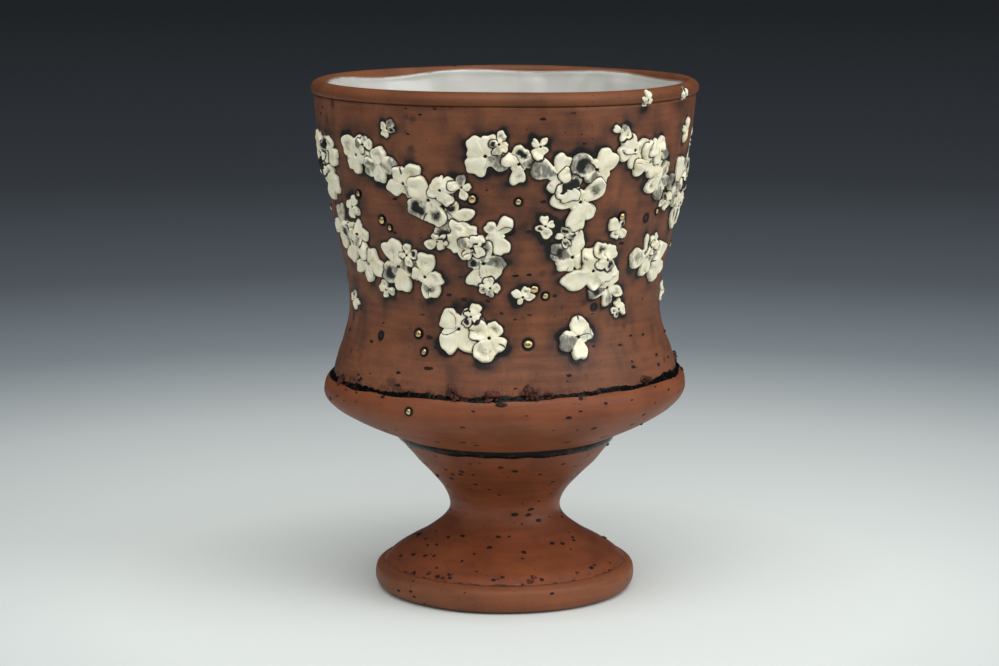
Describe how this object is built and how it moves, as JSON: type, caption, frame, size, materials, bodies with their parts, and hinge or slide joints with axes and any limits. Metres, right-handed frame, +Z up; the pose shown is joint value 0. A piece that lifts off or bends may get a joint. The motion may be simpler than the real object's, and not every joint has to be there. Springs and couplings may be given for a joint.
{
  "type": "footed stoneware cup",
  "caption": "Waisted wheel-thrown cup on a trumpet pedestal, white-glazed inside, with rolled lip, black slip seams and applied cream blossoms on the wall.",
  "frame": {"origin": "middle of the foot's underside, on the surface the cup stands on", "axes": "+Z up through the middle of the mouth, -Y towards the front, +X to the right"},
  "size_m": [0.0974, 0.0974, 0.13],
  "materials": {
    "terracotta": "satin",
    "black_slip": "satin",
    "blossom_clay": "satin",
    "gold_lustre": "polished",
    "white_glaze": "gloss"
  },
  "bodies": {
    "root": {"foot_band": "terracotta", "pedestal": "terracotta", "foot_seam_slip": "black_slip", "keel_bowl": "terracotta", "keel_seam_slip": "black_slip", "cup_wall": "terracotta", "lip_band": "terracotta", "lustre_beads": "gold_lustre", "blossom_cluster_01": "blossom_clay", "blossom_cluster_02": "blossom_clay", "blossom_cluster_03": "blossom_clay", "blossom_cluster_04": "blossom_clay", "blossom_cluster_05": "blossom_clay", "blossom_cluster_06": "blossom_clay", "blossom_cluster_07": "blossom_clay", "blossom_cluster_08": "blossom_clay", "blossom_cluster_09": "blossom_clay", "blossom_cluster_10": "blossom_clay", "blossom_cluster_11": "blossom_clay", "blossom_cluster_12": "blossom_clay", "blossom_cluster_13": "blossom_clay", "blossom_cluster_14": "blossom_clay", "blossom_cluster_15": "blossom_clay", "blossom_cluster_16": "blossom_clay", "blossom_cluster_17": "blossom_clay", "blossom_cluster_18": "blossom_clay", "blossom_cluster_19": "blossom_clay", "blossom_cluster_20": "blossom_clay", "blossom_cluster_21": "blossom_clay", "blossom_cluster_22": "blossom_clay", "blossom_cluster_23": "blossom_clay", "blossom_cluster_24": "blossom_clay", "blossom_cluster_25": "blossom_clay"}
  },
  "joints": []
}
